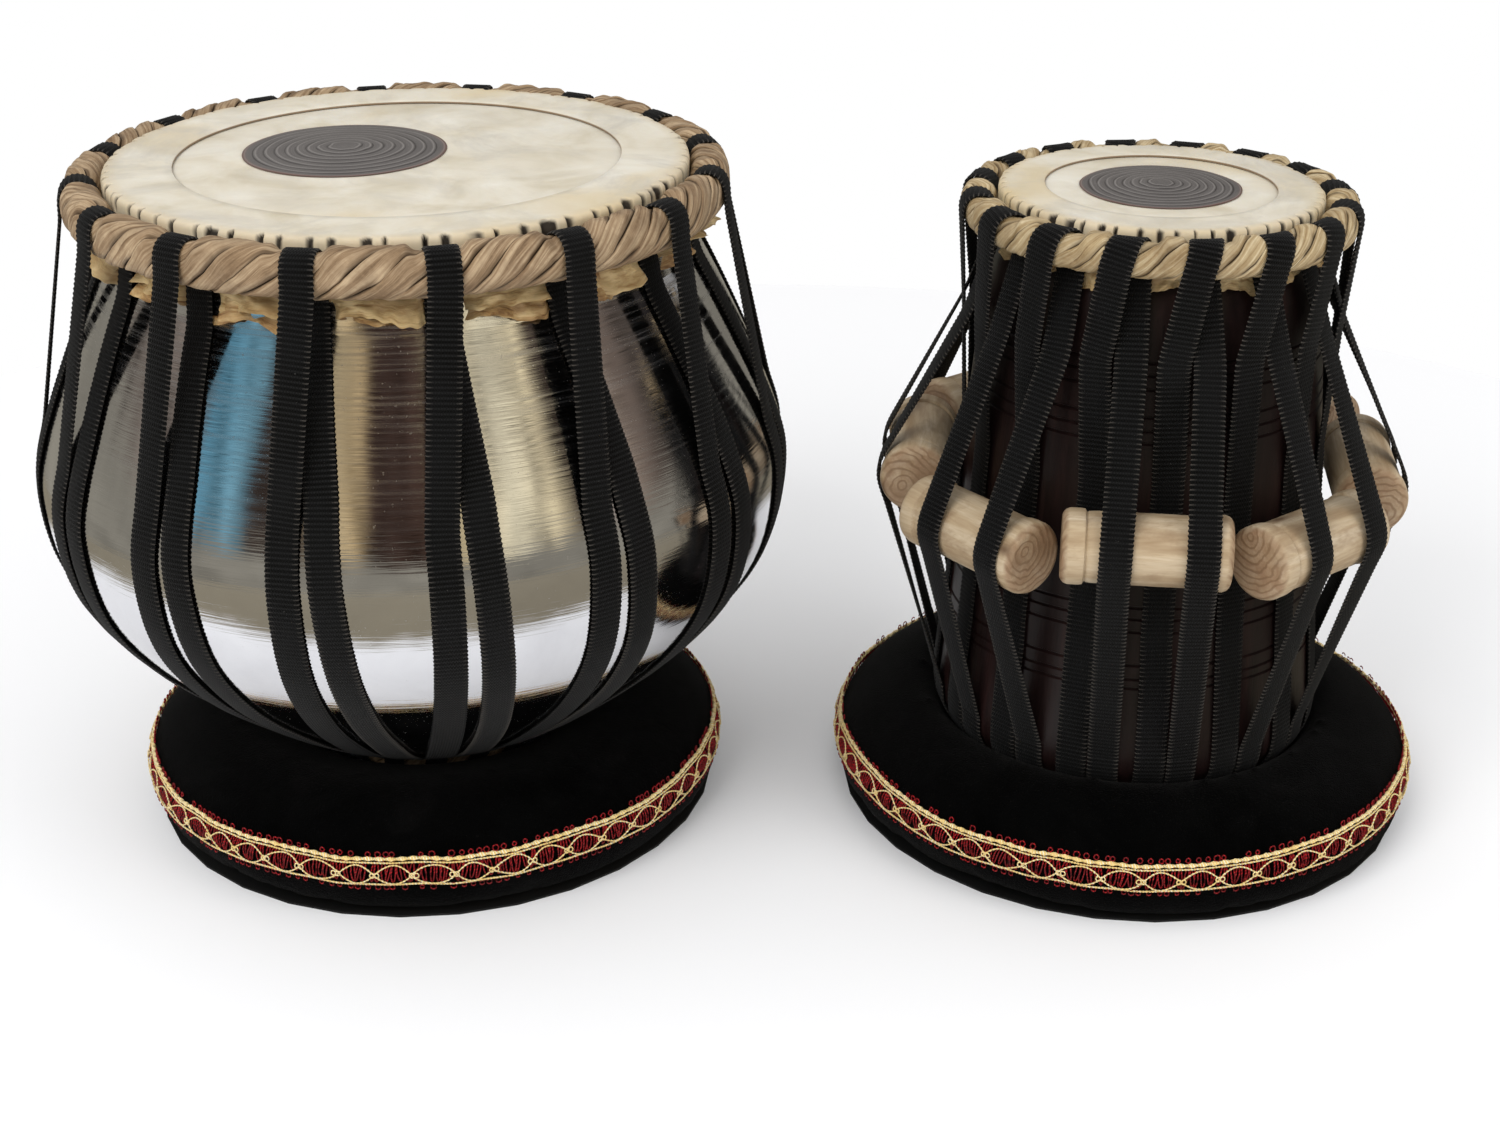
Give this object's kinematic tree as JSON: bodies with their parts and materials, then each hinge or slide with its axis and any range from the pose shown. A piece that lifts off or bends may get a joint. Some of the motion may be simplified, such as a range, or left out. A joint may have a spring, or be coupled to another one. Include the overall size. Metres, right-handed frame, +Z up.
{
  "type": "tabla drum pair",
  "caption": "Pair of hand drums: a round metal bass drum and a tapered wooden treble drum, strap-laced with skin heads, wooden tuning blocks and ring cushions.",
  "frame": {"origin": "on the floor, at the middle of the whole pair's box", "axes": "+X from the metal drum to the wooden drum, +Y away from the player's side, +Z up"},
  "size_m": [0.5881, 0.3122, 0.2823],
  "materials": {
    "polished_metal": "mirror polished, fine turning marks",
    "dark_wood": "turned hardwood, dark satin polish, scribed rings",
    "goat_skin": "dry scraped skin, matt",
    "edge_skin": "dry scraped skin, matt, slightly paler",
    "black_paste": "dry layered paste, matt, fine rings",
    "brown_hide": "twisted rawhide thong, dull",
    "tan_hide": "twisted rawhide thong, dull",
    "black_webbing": "ribbed woven webbing",
    "pale_wood": "bare turned softwood",
    "cotton_filling": "cotton wadding",
    "black_velvet": "deep pile velvet",
    "black_cloth": "plain woven cloth",
    "gold_and_red_lace": "gold cord on red thread loops"
  },
  "bodies": {
    "cushions": {"bayan_cushion_filling": "cotton_filling", "bayan_cushion_cover": "black_velvet", "bayan_cushion_base_cloth": "black_cloth", "bayan_cushion_trim": "gold_and_red_lace", "dayan_cushion_filling": "cotton_filling", "dayan_cushion_cover": "black_velvet", "dayan_cushion_base_cloth": "black_cloth", "dayan_cushion_trim": "gold_and_red_lace"},
    "bayan": {"bayan_metal_shell": "polished_metal", "bayan_lining_skin": "goat_skin", "bayan_playing_skin": "goat_skin", "bayan_edge_skin": "edge_skin", "bayan_black_paste": "black_paste", "bayan_braid": "brown_hide", "bayan_strap": "black_webbing", "bayan_bottom_ring": "brown_hide"},
    "dayan": {"dayan_wooden_shell": "dark_wood", "dayan_lining_skin": "goat_skin", "dayan_playing_skin": "goat_skin", "dayan_edge_skin": "edge_skin", "dayan_black_paste": "black_paste", "dayan_braid": "tan_hide", "dayan_strap": "black_webbing", "dayan_bottom_ring": "tan_hide"},
    "block_1": {"tuning_block_1": "pale_wood"},
    "block_2": {"tuning_block_2": "pale_wood"},
    "block_3": {"tuning_block_3": "pale_wood"},
    "block_4": {"tuning_block_4": "pale_wood"},
    "block_5": {"tuning_block_5": "pale_wood"},
    "block_6": {"tuning_block_6": "pale_wood"},
    "block_7": {"tuning_block_7": "pale_wood"},
    "block_8": {"tuning_block_8": "pale_wood"}
  },
  "joints": [
    {"name": "bayan_lift", "type": "slide", "parent": "cushions", "child": "bayan", "axis": [0, 0, 1], "range_m": [0, 0.12]},
    {"name": "dayan_lift", "type": "slide", "parent": "cushions", "child": "dayan", "axis": [0, 0, 1], "range_m": [0, 0.12]},
    {"name": "block_1_slide", "type": "slide", "parent": "dayan", "child": "block_1", "axis": [-0.0058, -0.0496, -0.9988], "range_m": [-0.02, 0.02], "deforming": ["dayan_strap"]},
    {"name": "block_2_slide", "type": "slide", "parent": "dayan", "child": "block_2", "axis": [0.031, -0.0392, -0.9988], "range_m": [-0.02, 0.02], "deforming": ["dayan_strap"]},
    {"name": "block_3_slide", "type": "slide", "parent": "dayan", "child": "block_3", "axis": [0.0496, -0.0058, -0.9988], "range_m": [-0.02, 0.02], "deforming": ["dayan_strap"]},
    {"name": "block_4_slide", "type": "slide", "parent": "dayan", "child": "block_4", "axis": [0.0392, 0.031, -0.9988], "range_m": [-0.02, 0.02], "deforming": ["dayan_strap"]},
    {"name": "block_5_slide", "type": "slide", "parent": "dayan", "child": "block_5", "axis": [0.0058, 0.0496, -0.9988], "range_m": [-0.02, 0.02], "deforming": ["dayan_strap"]},
    {"name": "block_6_slide", "type": "slide", "parent": "dayan", "child": "block_6", "axis": [-0.031, 0.0392, -0.9988], "range_m": [-0.02, 0.02], "deforming": ["dayan_strap"]},
    {"name": "block_7_slide", "type": "slide", "parent": "dayan", "child": "block_7", "axis": [-0.0496, 0.0058, -0.9988], "range_m": [-0.02, 0.02], "deforming": ["dayan_strap"]},
    {"name": "block_8_slide", "type": "slide", "parent": "dayan", "child": "block_8", "axis": [-0.0392, -0.031, -0.9988], "range_m": [-0.02, 0.02], "deforming": ["dayan_strap"]}
  ]
}
